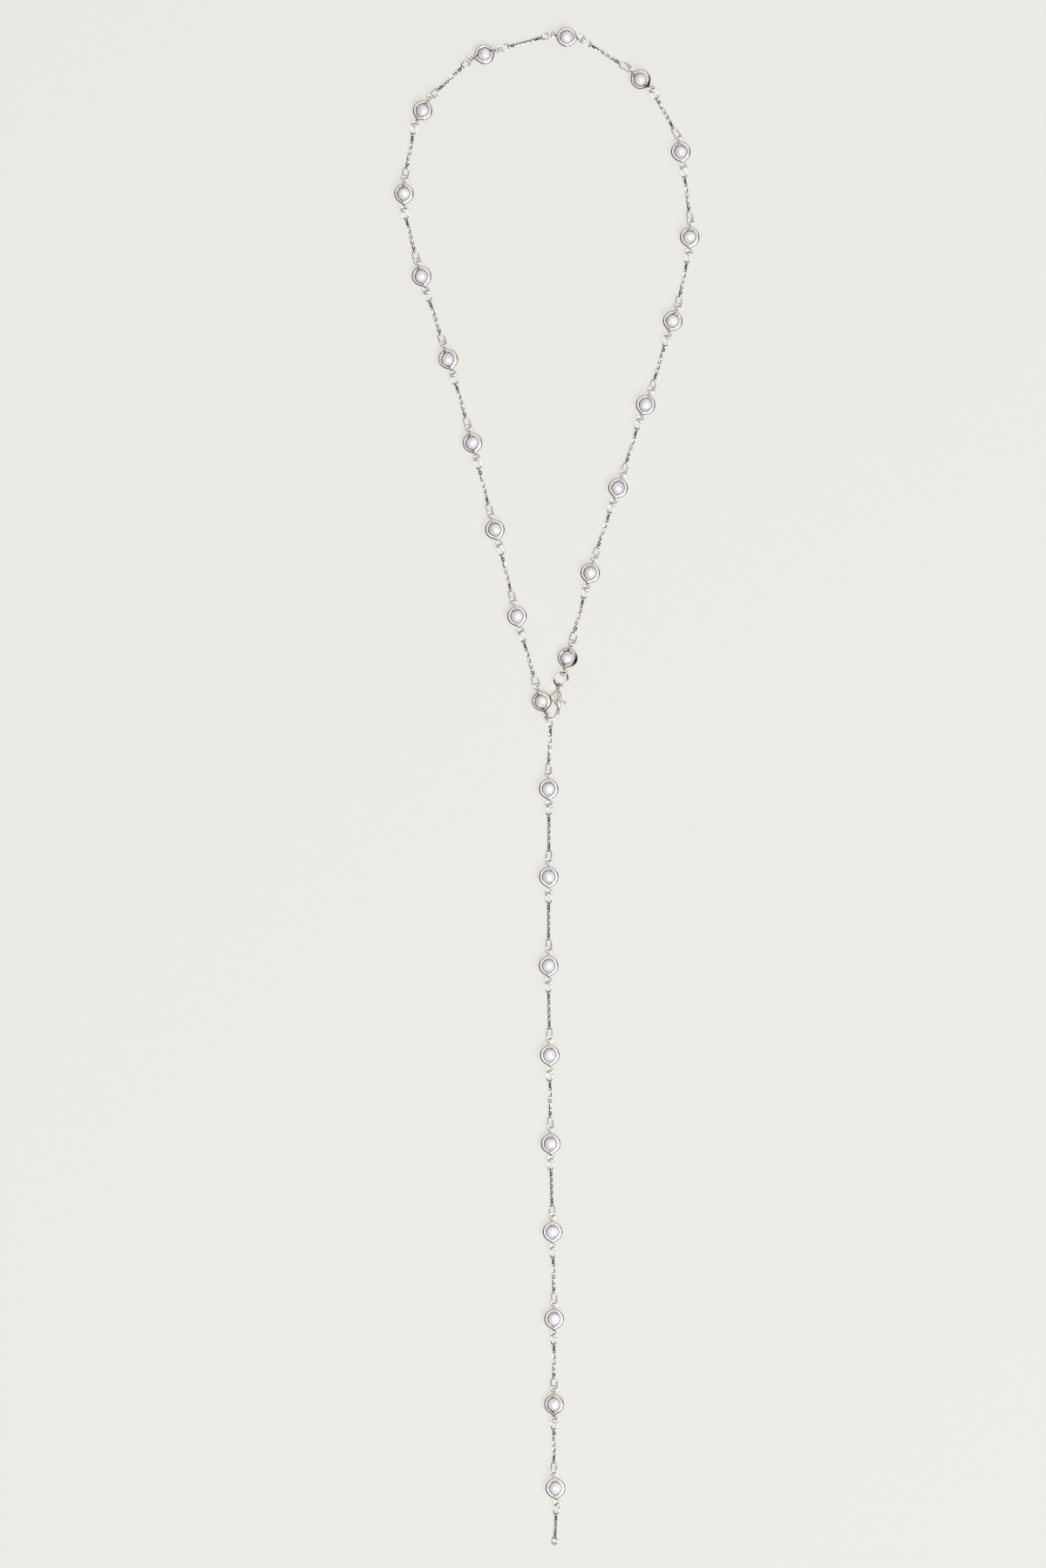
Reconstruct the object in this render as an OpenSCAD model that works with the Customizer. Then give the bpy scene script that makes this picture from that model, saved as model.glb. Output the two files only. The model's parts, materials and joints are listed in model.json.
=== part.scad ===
// Necklace of round pearls in ring settings on fine chain, closed with a lobster clasp.
// It lies flat: X points right, Y to the top of the neck loop and Z up from the surface.
// Lengths are in millimetres and angles in degrees.

/* [Pearls and settings] */
// Diameter of a pearl
pearl_d = 4.3; // [4.25:0.01:4.32]
// Outer diameter of a setting's band
band_d = 6.1; // [6:0.05:6.2]
// Depth of the band from face to face
band_depth = 2.3; // [2.2:0.05:2.4]
// Thickness of the band's wall
band_wall = 0.3; // [0.25:0.05:0.35]
// Thickness of the rim on each face of the band
rim_t = 0.3; // [0.25:0.05:0.35]
// Clear diameter of the round part of the rim's opening
opening_d = 4.2; // [4.1:0.02:4.2]
// Reach of the opening's two points from its centre
opening_reach = 2.9; // [2.6:0.1:3]
// Depth of the bars between a setting's pointed ends and its wire loops
neck_depth = 1.2; // [0.8:0.1:1.4]
// Distance from a pearl's centre to the centre of each wire loop
loop_reach = 4.8; // [4.75:0.01:4.85]
// Outer diameter of a setting's wire loop
loop_d = 2.3; // [2.25:0.01:2.32]
// Wire of a setting's loop
loop_wire = 0.4; // [0.36:0.01:0.42]

/* [Chain] */
// Outer length of an oval link
oval_length = 3.9; // [3.8:0.05:4]
// Outer width of an oval link
oval_width = 2.7; // [2.65:0.05:2.75]
// Wire of an oval link
oval_wire = 0.36; // [0.3:0.01:0.38]
// Roll of an oval link against the loop that it hangs in
oval_roll = 48; // [46:1:52]
// Width of the fine chain
fine_width = 1.12; // [1:0.02:1.12]
// Height of the fine chain's middle above the surface
fine_height = 0.62; // [0.6:0.01:0.7]
// Length from the last setting's loop to the free end's edge
tail_end_length = 13.1; // [13:0.05:13.2]

/* [Rings and clasp] */
// Outer diameter of the jump ring
jump_d = 5.1; // [5.06:0.02:5.14]
// Wire of the jump ring
jump_wire = 0.6; // [0.5:0.02:0.62]
// Outer diameter of the ring at the free end
end_ring_d = 2.5; // [2.3:0.1:2.7]
// Wire of the ring at the free end
end_ring_wire = 0.4; // [0.34:0.02:0.44]
// Outer diameter of the clasp's eye
eye_d = 1.9; // [1.85:0.01:1.92]
// Wire of the clasp's eye
eye_wire = 0.4; // [0.36:0.01:0.42]
// Width of the clasp's hook at its end
hook_w = 0.7; // [0.6:0.05:0.7]
// Width of the clasp's arm, from which the hook narrows
arm_w = 0.9; // [0.8:0.05:1]
// Diameter of the clasp's hinge pin
pin_d = 0.6; // [0.5:0.05:0.65]
// Thickness of the clasp's lever
lever_t = 0.4; // [0.35:0.01:0.42]

/* [Hidden] */
$fn = 64;
// Smallest gap between two pieces
gap = 0.05;

// Stations from the jump ring up the right side, over the top, down to the clasp and down the tail.
// A pearl rests on the surface, raised by lift. Heading is the way the chain runs, counterclockwise
// from X. Pitch raises a setting's leading end and roll the left side of its run.
X = 0; Y = 1; LIFT = 2; HEADING = 3; PITCH = 4; ROLL = 5;
STATIONS = [
    [  6.70,   40.1, 0.00,  74.5, -2.0, -17],
    [ 13.80,   66.6, 0.00,  75.0,  0.0,  -3],
    [ 22.50,   93.2, 0.00,  71.0,  0.0,  -2],
    [ 31.10,  119.2, 0.00,  69.0,  0.0,  -2],
    [ 39.60,  145.4, 0.00,  71.5,  0.0,  -6],
    [ 44.90,  171.6, 0.00,  87.5,  0.0,  -4],
    [ 42.10,  198.3, 0.00, 100.0,  0.0,  -3],
    [ 29.50,  221.0, 0.00, 138.0,  0.0, -16],
    [  6.40,  234.2, 0.00, 171.5,  0.0,  -4],
    [-19.30,  228.7, 0.00, 200.0,  0.0,   8],
    [-38.60,  211.2, 0.00, 240.0,  0.0,   6],
    [-44.40,  185.2, 0.00, 268.5,  0.0,   8],
    [-38.90,  159.4, 0.00, 287.5,  0.0,  10],
    [-30.60,  133.5, 0.00, 287.5,  0.0,  12],
    [-23.00,  107.3, 0.00, 285.0,  0.0,  12],
    [-16.00,   80.2, 0.00, 286.0,  0.0,   3],
    [ -9.10,   53.1, 0.00, 284.0,  0.0,   2],
    [ -1.38,   26.5, 0.03, 288.4, -5.4,  17.4],
    [  0.80,   -0.9, 0.00, 271.5,  0.0,   1],
    [  0.80,  -28.4, 0.00, 269.5,  0.0,  -1],
    [  0.80,  -56.2, 0.00, 269.5,  0.0,   2],
    [  1.10,  -84.1, 0.00, 270.5,  0.0,   0],
    [  1.40, -111.8, 0.00, 270.5,  0.0,   1],
    [  2.00, -139.4, 0.00, 271.0,  0.0,   0],
    [  2.50, -166.6, 0.00, 269.5,  0.0,   2],
    [  2.50, -193.3, 0.00, 270.5,  0.0,  10],
    [  2.90, -219.5, 0.00, 276.0,  0.0,   1],
];
// Heading of the free end's stretch beyond the last station
TAIL_HEADING = 266.3;
LAST = len(STATIONS) - 1;
// The station beside the clasp is the last one of the neck loop
LOOP_LAST = 17;

pearl_r = pearl_d / 2;
band_r = band_d / 2;
cavity_r = band_r - band_wall;
rim_inner = band_depth / 2 - rim_t;
opening_r = opening_d / 2;
loop_r = (loop_d - loop_wire) / 2;

// A pointed outline leaves its circle at the angle where its straight side would be a tangent. Its
// corners lie a little inside the circle, so that side and circle cross at a clear angle.
corner_in = 0.965;
neck_angle = 32;
neck_half_width = 0.22;
neck_end = loop_reach - loop_r - 0.1;
// The pointed ends stay above the lower rim, clear of what lies below them
point_low = 2 * gap - rim_inner;
point_high = band_depth / 2 - gap;

oval_bend = (oval_width - oval_wire) / 2;
oval_straight = oval_length - oval_width;
oval_reach = oval_length - oval_wire;

// How far an oval link's near end passes the centre of its loop. A link that hangs in a short
// stretch lies slack in its loop and starts further back.
slack_span = 18.3;
slack_share = 0.2;
near_most = 0.12;
near_least = -0.22;

// Clear length between an oval link's outer end and the fine chain
fine_gap = 0.12;
fine_sides = 8;
fine_r = fine_width / 2;

// Clasp frame: the origin lies below the eye's centre, at clasp_lift above the surface. X runs to the
// hook's end and Y is 90 degrees on from it.
clasp_lift = 0.1;
clasp_eye = [3.9, 31.35, 1.0 + clasp_lift];
clasp_heading = 258;
eye_roll = 34;
eye_r = (eye_d - eye_wire) / 2;
jump_r = (jump_d - jump_wire) / 2;
jump_reach = 2.28;
jump_roll = -28;

// The oval link that the clasp's hook holds, with its near end in clasp frame
caught_near = [9.99, -1.28, 1.157];
caught_heading = 283.9;
caught_pitch = -1.3;
caught_roll = -51.2;

// Clasp outline: the head's plan, its layers in height and the hook's centreline
head_plan = [
    [0.80, -0.35], [1.60, -0.55], [2.60, -1.35], [3.40, -1.80], [4.30, -1.95], [4.90, -1.60],
    [5.15, -0.68], [6.20, 0.66], [6.90, 1.00], [6.90, 1.88], [5.20, 1.86], [3.40, 1.70],
    [2.20, 1.20], [1.40, 0.50], [0.80, 0.35],
];
head_low = 0.15;
head_high = 1.4;
hook_low = 0.5;
hook_high = 1.05;
arm_in = 1;
arm_start = 6.4;
bow = [8.9, -0.65];
bow_in = 1.65;
corner = [10.3, -1.3];
corner_in_r = 0.25;
stub_start = 9.3;
// The bow's outer side is one arc, from the arm's width to the hook's width at its end
bow_tip = bow_in + hook_w;
bow_top = bow_in + arm_w;
bow_out = (bow_tip * bow_tip + bow_top * bow_top) / (2 * bow_top);
pin_at = [3.7, 0];

// Lever: it fills the slot in the head apart from a gap on each side
lever_low = 0.55;
slot_low = lever_low - gap;
slot_high = lever_low + lever_t + gap;
slot_from = 2.75;
slot_to = 5.6;
boss_r = 0.68;
gate_y = -1.85;
gate_w = 0.5;
gate_end = 9.15;
gate_low = gate_y - gate_w / 2;
gate_high = gate_y + gate_w / 2;
gate_plan = [
    [3.35, -0.45], [4.75, gate_low], [gate_end, gate_low], [gate_end, gate_high],
    [5.30, gate_high], [4.25, -0.20],
];
nub_end = [4.9, 3.1];
nub_r = 0.42;
nub_plan = [[3.40, 0.40], [4.52, 3.00], [5.20, 2.90], [4.30, 0.10]];

end_ring_r = (end_ring_d - end_ring_wire) / 2;
end_ring_roll = 35;

// Turns of a vector about each axis, and the three together as a piece is placed with them
function about_x(a) = [[1, 0, 0], [0, cos(a), -sin(a)], [0, sin(a), cos(a)]];
function about_y(a) = [[cos(a), 0, sin(a)], [0, 1, 0], [-sin(a), 0, cos(a)]];
function about_z(a) = [[cos(a), -sin(a), 0], [sin(a), cos(a), 0], [0, 0, 1]];
function turned(p, heading, pitch, roll) =
    about_z(heading) * (about_y(-pitch) * (about_x(roll) * p));
function in_clasp(p) = [clasp_eye.x, clasp_eye.y, clasp_lift] + turned(p, clasp_heading, 0, 0);

function centre(i) = [STATIONS[i][X], STATIONS[i][Y], pearl_r + STATIONS[i][LIFT]];
// Centre of a station's loop, on the leading side with side 1 and the trailing side with -1
function loop_centre(i, side) = centre(i)
    + turned([side * loop_reach, 0, 0], STATIONS[i][HEADING], STATIONS[i][PITCH], STATIONS[i][ROLL]);

function plan_length(v) = norm([v.x, v.y]);
function plan_heading(v) = atan2(v.y, v.x);
function clamp(v, low, high) = max(low, min(high, v));

// A stretch of chain from point a to point b sags from both ends to its middle height
function sag(end_z, t) = fine_height + (end_z - fine_height) * pow(1 - 2 * t, 2);
function along(a, b, t) = [
    a.x + (b.x - a.x) * t,
    a.y + (b.y - a.y) * t,
    t < 0.5 ? sag(a.z, t) : sag(b.z, t)
];
function near_length(a, b) =
    clamp(near_most - slack_share * (slack_span - plan_length(b - a)), near_least, near_most);

// An oval link's place: its near end, heading, pitch and roll. It hangs in the loop at a and runs
// towards b. The loop's own roll is seen along the same way.
function oval_place(a, b, roll) = let (
    span = plan_length(b - a),
    near = near_length(a, b),
    from = along(a, b, max(near, 0) / span),
    to = along(a, b, (near + oval_reach) / span)
) [
    [a.x + (b.x - a.x) * near / span, a.y + (b.y - a.y) * near / span, from.z],
    plan_heading(b - a),
    atan2(to.z - from.z, oval_reach),
    roll < 0 ? roll + oval_roll : roll - oval_roll
];
function far_end(place) = place[0] + turned([oval_reach, 0, 0], place[1], place[2], place[3]);

// The link that the clasp holds, and the point where the tail's first stretch begins
caught_place = [in_clasp(caught_near), caught_heading, caught_pitch, caught_roll];
caught_end = far_end(caught_place);

// Stretch i runs from station i to the next one. The tail's first stretch starts at the held link.
function start_of(i) = loop_centre(i, 1);
function end_of(i) = loop_centre(i + 1, -1);
function leading_oval(i) = i == LOOP_LAST ? caught_place : oval_place(start_of(i), end_of(i), STATIONS[i][ROLL]);
function trailing_oval(i) = oval_place(end_of(i), i == LOOP_LAST ? caught_end : start_of(i),
    -STATIONS[i + 1][ROLL]);

// The last oval link comes down as it does in a stretch of full length. The end ring lies beyond it.
function below_last(length) =
    loop_centre(LAST, 1) + turned([length, 0, 0], TAIL_HEADING, 0, 0);
last_oval = oval_place(below_last(0), below_last(slack_span), STATIONS[LAST][ROLL]);
end_ring_at = below_last(tail_end_length - end_ring_d / 2);

// Middle line of a fine stretch between the far ends of two oval links: start, middle and end
function past(place) = let (
    end = place[0] + turned([oval_length - oval_wire / 2 + fine_gap, 0, 0], place[1], place[2], 0)
) [end.x, end.y, max(end.z, fine_height)];
function fine_route(p, q) = [p, [(p.x + q.x) / 2, (p.y + q.y) / 2, fine_height], q];
function stretch_route(i) = fine_route(past(leading_oval(i)), past(trailing_oval(i)));

// Ring of corners about each point of a route, turned to the route's heading in plan
function ring_corners(p, heading) = [
    for (k = [0 : fine_sides - 1])
        let (a = 360 * (k + 0.5) / fine_sides)
            p + turned([0, fine_r * cos(a), fine_r * sin(a)], heading, 0, 0)
];
function swept_points(route, heading) = [for (p = route) each ring_corners(p, heading)];
function swept_faces(rings) = concat(
    [[for (k = [0 : fine_sides - 1]) k]],
    [
        for (j = [0 : rings - 2], k = [0 : fine_sides - 1])
            let (n = (k + 1) % fine_sides, base = j * fine_sides)
                [base + k, base + fine_sides + k, base + fine_sides + n, base + n]
    ],
    [[for (k = [fine_sides - 1 : -1 : 0]) (rings - 1) * fine_sides + k]]
);

module placed(place) {
    translate(place[0]) rotate([place[3], -place[2], place[1]]) children();
}

module at_station(i) {
    translate(centre(i))
        rotate([STATIONS[i][ROLL], -STATIONS[i][PITCH], STATIONS[i][HEADING]])
            children();
}

module at_clasp() {
    translate([clasp_eye.x, clasp_eye.y, clasp_lift]) rotate([0, 0, clasp_heading]) children();
}

// Round ring of round wire, given its centreline's radius
module wire_ring(r, wire) {
    rotate_extrude() translate([r, 0]) circle(d = wire);
}

module oval_ring() {
    for (side = [-1, 1]) {
        translate([side * oval_straight / 2, 0, 0])
            rotate([0, 0, -side * 90])
                rotate_extrude(angle = 180) translate([oval_bend, 0]) circle(d = oval_wire);
        translate([0, side * oval_bend, 0])
            rotate([0, 90, 0]) cylinder(d = oval_wire, h = oval_straight, center = true);
    }
}

module oval_link(place) {
    placed(place) translate([oval_reach / 2, 0, 0]) oval_ring();
}

// Pointed end of the band, and the bar that runs from it to the wire loop
module neck() {
    side = [band_r * corner_in * cos(neck_angle), band_r * corner_in * sin(neck_angle)];
    point = band_r / cos(neck_angle) - neck_half_width * tan(neck_angle);
    translate([0, 0, point_low])
        linear_extrude(point_high - point_low)
            polygon([
                [side.x, -side.y], [point, -neck_half_width], [point, neck_half_width],
                [side.x, side.y],
            ]);
    linear_extrude(neck_depth, center = true)
        polygon([
            [side.x, -neck_half_width], [neck_end, -neck_half_width],
            [neck_end, neck_half_width], [side.x, neck_half_width],
        ]);
}

// Eye-shaped opening in both rims: a circle with a point towards each neck
module eye_opening() {
    touch = acos(opening_r / opening_reach);
    corner_at = opening_r * corner_in * [cos(touch), sin(touch)];
    linear_extrude(2 * band_depth, center = true) {
        circle(r = opening_r);
        polygon([
            [opening_reach, 0], corner_at, [-corner_at.x, corner_at.y],
            [-opening_reach, 0], -corner_at, [corner_at.x, -corner_at.y],
        ]);
    }
}

module setting() {
    difference() {
        union() {
            cylinder(r = band_r, h = band_depth, center = true);
            neck();
            mirror([1, 0, 0]) neck();
        }
        cylinder(r = cavity_r, h = 2 * rim_inner, center = true);
        eye_opening();
    }
    for (side = [-1, 1])
        translate([side * loop_reach, 0, 0]) wire_ring(loop_r, loop_wire);
}

module pearl(i) {
    color([0.9, 0.88, 0.9]) translate(centre(i)) sphere(r = pearl_r);
}

module settings(first, last) {
    color([0.78, 0.77, 0.75])
        for (i = [first : last]) at_station(i) setting();
}

module settings_loop() {
    settings(0, LOOP_LAST);
}

module settings_tail() {
    settings(LOOP_LAST + 1, LAST);
}

module oval_links(first, last) {
    for (i = [first : last]) {
        oval_link(leading_oval(i));
        oval_link(trailing_oval(i));
    }
}

module oval_links_loop() {
    color([0.74, 0.73, 0.71]) oval_links(0, LOOP_LAST - 1);
}

module oval_links_tail() {
    color([0.74, 0.73, 0.71]) {
        oval_links(LOOP_LAST, LAST - 1);
        oval_link(last_oval);
    }
}

module fine_chain(route) {
    polyhedron(
        points = swept_points(route, plan_heading(route[len(route) - 1] - route[0])),
        faces = swept_faces(len(route)),
        convexity = 4
    );
}

module fine_chain_loop() {
    color([0.7, 0.69, 0.67])
        for (i = [0 : LOOP_LAST - 1]) fine_chain(stretch_route(i));
}

module fine_chain_tail() {
    ring_edge = below_last(tail_end_length - end_ring_d - fine_gap);
    color([0.7, 0.69, 0.67]) {
        for (i = [LOOP_LAST : LAST - 1]) fine_chain(stretch_route(i));
        fine_chain(fine_route(past(last_oval), [ring_edge.x, ring_edge.y, fine_height]));
    }
}

module jump_ring() {
    from = loop_centre(0, -1);
    way = clasp_eye - from;
    color([0.74, 0.73, 0.71])
        placed([from, plan_heading(way), atan2(way.z, plan_length(way)), jump_roll])
            translate([jump_reach, 0, 0]) wire_ring(jump_r, jump_wire);
}

module end_ring() {
    lowest = end_ring_r * sin(end_ring_roll) + end_ring_wire / 2;
    color([0.74, 0.73, 0.71])
        translate([end_ring_at.x, end_ring_at.y, lowest + gap / 2])
            rotate([end_ring_roll, 0, TAIL_HEADING]) wire_ring(end_ring_r, end_ring_wire);
}

// Hook in plan: the arm, the bow that narrows from it, a straight piece, the corner and the end
module hook_plan() {
    translate([arm_start, arm_in]) square([bow.x - arm_start, arm_w]);
    translate(bow)
        intersection() {
            difference() {
                translate([0, bow_top - bow_out]) circle(r = bow_out);
                circle(r = bow_in);
            }
            square(bow_top + hook_w);
        }
    translate([bow.x + bow_in, corner.y]) square([hook_w, bow.y - corner.y]);
    translate(corner)
        intersection() {
            difference() {
                circle(r = corner_in_r + hook_w);
                circle(r = corner_in_r);
            }
            rotate(-90) square(corner_in_r + 2 * hook_w);
        }
    translate([stub_start, corner.y - corner_in_r - hook_w]) square([corner.x - stub_start, hook_w]);
}

module clasp_body() {
    color([0.76, 0.75, 0.73]) {
        translate(clasp_eye)
            rotate([eye_roll, 0, clasp_heading]) wire_ring(eye_r, eye_wire);
        at_clasp() {
            translate([0, 0, hook_low]) linear_extrude(hook_high - hook_low) hook_plan();
            difference() {
                translate([0, 0, head_low]) linear_extrude(head_high - head_low) polygon(head_plan);
                translate([slot_from, -hook_w * 5, slot_low])
                    cube([slot_to - slot_from, hook_w * 10, slot_high - slot_low]);
            }
            translate([pin_at.x, pin_at.y, (head_low + slot_low) / 2])
                cylinder(d = pin_d, h = (head_high + slot_high) / 2 - (head_low + slot_low) / 2);
        }
    }
}

// Lever without its hole: the arm with the gate and the arm with the thumb nub meet at the boss
module lever_blank() {
    translate([pin_at.x, pin_at.y, lever_low]) cylinder(r = boss_r, h = lever_t);
    translate([nub_end.x, nub_end.y, lever_low]) cylinder(r = nub_r, h = lever_t);
    translate([0, 0, lever_low]) linear_extrude(lever_t) polygon(gate_plan);
    translate([0, 0, lever_low]) linear_extrude(lever_t) polygon(nub_plan);
}

module clasp_lever() {
    color([0.76, 0.75, 0.73])
        at_clasp()
            difference() {
                lever_blank();
                translate([pin_at.x, pin_at.y, 0]) cylinder(r = pin_d / 2 + gap, h = head_high);
            }
}

for (i = [0 : LAST])
    pearl(i);
settings_loop();
settings_tail();
oval_links_loop();
oval_links_tail();
fine_chain_loop();
fine_chain_tail();
jump_ring();
end_ring();
clasp_body();
clasp_lever();
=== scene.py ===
# %% [markdown]
# # A pearl station necklace, lying flat
# The real necklace is a fine silver-tone cable chain with a pearl in a ring setting every few
# centimetres, closed by a lobster clasp. The frame below already holds each piece at its place. This
# lesson gives each of them its finished shape and surface. All lengths are in millimetres until a piece
# is put in place, where it is shrunk to metres.

import json
import math
import random

import bmesh
import bpy
from mathutils import Matrix, Vector

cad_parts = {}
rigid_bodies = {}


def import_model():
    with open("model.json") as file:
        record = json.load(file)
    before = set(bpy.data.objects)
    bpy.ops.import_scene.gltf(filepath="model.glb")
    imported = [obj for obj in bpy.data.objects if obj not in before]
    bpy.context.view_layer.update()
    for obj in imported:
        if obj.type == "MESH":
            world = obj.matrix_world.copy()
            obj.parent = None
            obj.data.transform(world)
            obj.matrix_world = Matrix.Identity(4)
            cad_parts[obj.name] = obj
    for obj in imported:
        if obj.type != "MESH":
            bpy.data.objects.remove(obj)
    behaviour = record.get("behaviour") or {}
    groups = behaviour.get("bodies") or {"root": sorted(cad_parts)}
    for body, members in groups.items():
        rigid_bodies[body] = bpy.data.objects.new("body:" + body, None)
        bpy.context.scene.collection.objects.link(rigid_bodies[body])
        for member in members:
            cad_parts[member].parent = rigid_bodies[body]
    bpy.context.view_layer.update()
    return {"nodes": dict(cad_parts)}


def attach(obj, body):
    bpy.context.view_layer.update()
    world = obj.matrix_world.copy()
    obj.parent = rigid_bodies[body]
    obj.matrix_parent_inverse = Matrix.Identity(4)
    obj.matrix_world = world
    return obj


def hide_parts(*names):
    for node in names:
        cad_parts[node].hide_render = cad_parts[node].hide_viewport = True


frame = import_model()
MM = 0.001
random.seed(7)
print("nodes in the frame:", len(frame["nodes"]))

# %% [markdown]
# ## Where everything lies
# Each row of the table is one station: the pearl's place on the surface, how far it is lifted, the way
# the chain runs there, and how its setting is pitched and rolled. The rows run from the jump ring up the
# right side, over the top, down the left side to the clasp, and then down the tail. The same table and
# the same few rules place the links, so nothing has to be fitted by eye afterwards.

# %% Stations and sizes
STATIONS = [
    (6.70, 40.1, 0.00, 74.5, -2.0, -17),
    (13.80, 66.6, 0.00, 75.0, 0.0, -3),
    (22.50, 93.2, 0.00, 71.0, 0.0, -2),
    (31.10, 119.2, 0.00, 69.0, 0.0, -2),
    (39.60, 145.4, 0.00, 71.5, 0.0, -6),
    (44.90, 171.6, 0.00, 87.5, 0.0, -4),
    (42.10, 198.3, 0.00, 100.0, 0.0, -3),
    (29.50, 221.0, 0.00, 138.0, 0.0, -16),
    (6.40, 234.2, 0.00, 171.5, 0.0, -4),
    (-19.30, 228.7, 0.00, 200.0, 0.0, 8),
    (-38.60, 211.2, 0.00, 240.0, 0.0, 6),
    (-44.40, 185.2, 0.00, 268.5, 0.0, 8),
    (-38.90, 159.4, 0.00, 287.5, 0.0, 10),
    (-30.60, 133.5, 0.00, 287.5, 0.0, 12),
    (-23.00, 107.3, 0.00, 285.0, 0.0, 12),
    (-16.00, 80.2, 0.00, 286.0, 0.0, 3),
    (-9.10, 53.1, 0.00, 284.0, 0.0, 2),
    (-1.38, 26.5, 0.03, 288.4, -5.4, 17.4),
    (0.80, -0.9, 0.00, 271.5, 0.0, 1),
    (0.80, -28.4, 0.00, 269.5, 0.0, -1),
    (0.80, -56.2, 0.00, 269.5, 0.0, 2),
    (1.10, -84.1, 0.00, 270.5, 0.0, 0),
    (1.40, -111.8, 0.00, 270.5, 0.0, 1),
    (2.00, -139.4, 0.00, 271.0, 0.0, 0),
    (2.50, -166.6, 0.00, 269.5, 0.0, 2),
    (2.50, -193.3, 0.00, 270.5, 0.0, 10),
    (2.90, -219.5, 0.00, 276.0, 0.0, 1),
]
ROLL = 5
TAIL_HEADING = 266.3
LAST = len(STATIONS) - 1
LOOP_LAST = 17
PEARL_R = 2.15
LOOP_REACH = 4.8
LOOP_D = 2.3
LOOP_WIRE = 0.4
OVAL_LENGTH = 3.9
OVAL_WIDTH = 2.7
OVAL_WIRE = 0.36
OVAL_ROLL = 48
OVAL_REACH = OVAL_LENGTH - OVAL_WIRE
FINE_LENGTH = 1.62
FINE_WIDTH = 1.12
FINE_WIRE = 0.32
FINE_HEIGHT = 0.62
SLACK_SPAN = 18.3
SLACK_SHARE = 0.2
NEAR_MOST = 0.12
NEAR_LEAST = -0.22
TAIL_END_LENGTH = 13.1
END_RING_D = 2.5
END_RING_WIRE = 0.4
END_RING_ROLL = 35
print("stations:", len(STATIONS))


# %% Turn, place and follow the chain
def turned(heading, pitch=0.0, roll=0.0):
    """A turn that rolls about X, then pitches the leading end up, then heads away from X."""
    return (
        Matrix.Rotation(math.radians(heading), 4, "Z")
        @ Matrix.Rotation(math.radians(-pitch), 4, "Y")
        @ Matrix.Rotation(math.radians(roll), 4, "X")
    )


def placed(point, heading, pitch=0.0, roll=0.0):
    return Matrix.Translation(point) @ turned(heading, pitch, roll)


def station_place(i):
    x, y, lift, heading, pitch, roll = STATIONS[i]
    return placed(Vector((x, y, PEARL_R + lift)), heading, pitch, roll)


def loop_centre(i, side):
    return station_place(i) @ Vector((side * LOOP_REACH, 0, 0))


def plan_heading(v):
    return math.degrees(math.atan2(v.y, v.x))


def sag(end_z, t):
    """Height along a stretch: it falls from both ends to the chain's own half width."""
    return FINE_HEIGHT + (end_z - FINE_HEIGHT) * (1 - 2 * t) ** 2


def along(a, b, t):
    point = a.lerp(b, t)
    point.z = sag(a.z if t < 0.5 else b.z, t)
    return point


def oval_place(a, b, loop_roll):
    """Point, heading, pitch and roll of the oval link that hangs in the loop at a and runs towards b."""
    span = (b - a).xy.length
    near = min(max(NEAR_MOST - SLACK_SHARE * (SLACK_SPAN - span), NEAR_LEAST), NEAR_MOST)
    start = along(a, b, max(near, 0) / span)
    end = along(a, b, (near + OVAL_REACH) / span)
    point = a.lerp(b, near / span)
    point.z = start.z
    pitch = math.degrees(math.atan2(end.z - start.z, OVAL_REACH))
    roll = loop_roll + OVAL_ROLL if loop_roll < 0 else loop_roll - OVAL_ROLL
    return point, plan_heading(b - a), pitch, roll


def far_end(place):
    return placed(*place) @ Vector((OVAL_REACH, 0, 0))


# %% [markdown]
# ## Links: one ring, stretched
# A round wire link is a torus. To make an oval one, its two halves are pulled apart in edit mode, which
# leaves straight sides and round ends, just as wire bent round two pegs has. The big oval links have
# more faces than the fine ones, which are repeated hundreds of times and are only a millimetre wide.

# %% Helpers to start, select and name a piece
def start_fresh():
    """Back to object mode with nothing selected, so that an operator acts on the new piece alone."""
    if bpy.context.object and bpy.context.object.mode != "OBJECT":
        bpy.ops.object.mode_set(mode="OBJECT")
    bpy.ops.object.select_all(action="DESELECT")


def new_piece(name):
    piece = bpy.context.object
    piece.name = name
    piece.data.name = name
    return piece


def pick(piece, wanted):
    """In edit mode, selects the points for which wanted(position) is true."""
    bpy.ops.mesh.select_mode(type="VERT")
    bpy.ops.mesh.select_all(action="DESELECT")
    mesh = bmesh.from_edit_mesh(piece.data)
    for vert in mesh.verts:
        vert.select = bool(wanted(vert.co))
    mesh.select_flush(True)
    bmesh.update_edit_mesh(piece.data)


def finish_edit(piece, smooth_angle=40):
    """Leaves edit mode with faces outwards, and shades gentle edges smooth."""
    bpy.ops.mesh.select_all(action="SELECT")
    bpy.ops.mesh.normals_make_consistent(inside=False)
    bpy.ops.object.mode_set(mode="OBJECT")
    bpy.ops.object.shade_smooth_by_angle(angle=math.radians(smooth_angle))


def add_modifier(piece, kind, **values):
    modifier = piece.modifiers.new(kind.lower(), kind)
    for key, value in values.items():
        setattr(modifier, key, value)
    bpy.context.view_layer.objects.active = piece
    bpy.ops.object.modifier_apply(modifier=modifier.name)


def make_link(name, length, width, wire, around, across):
    start_fresh()
    bpy.ops.mesh.primitive_torus_add(
        major_radius=(width - wire) / 2,
        minor_radius=wire / 2,
        major_segments=around,
        minor_segments=across,
    )
    link = new_piece(name)
    bpy.ops.object.mode_set(mode="EDIT")
    for side in (1, -1):
        pick(link, lambda co: co.x * side > wire * 0.1)
        bpy.ops.transform.translate(value=(side * (length - width) / 2, 0, 0))
    finish_edit(link, 70)
    return link


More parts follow.
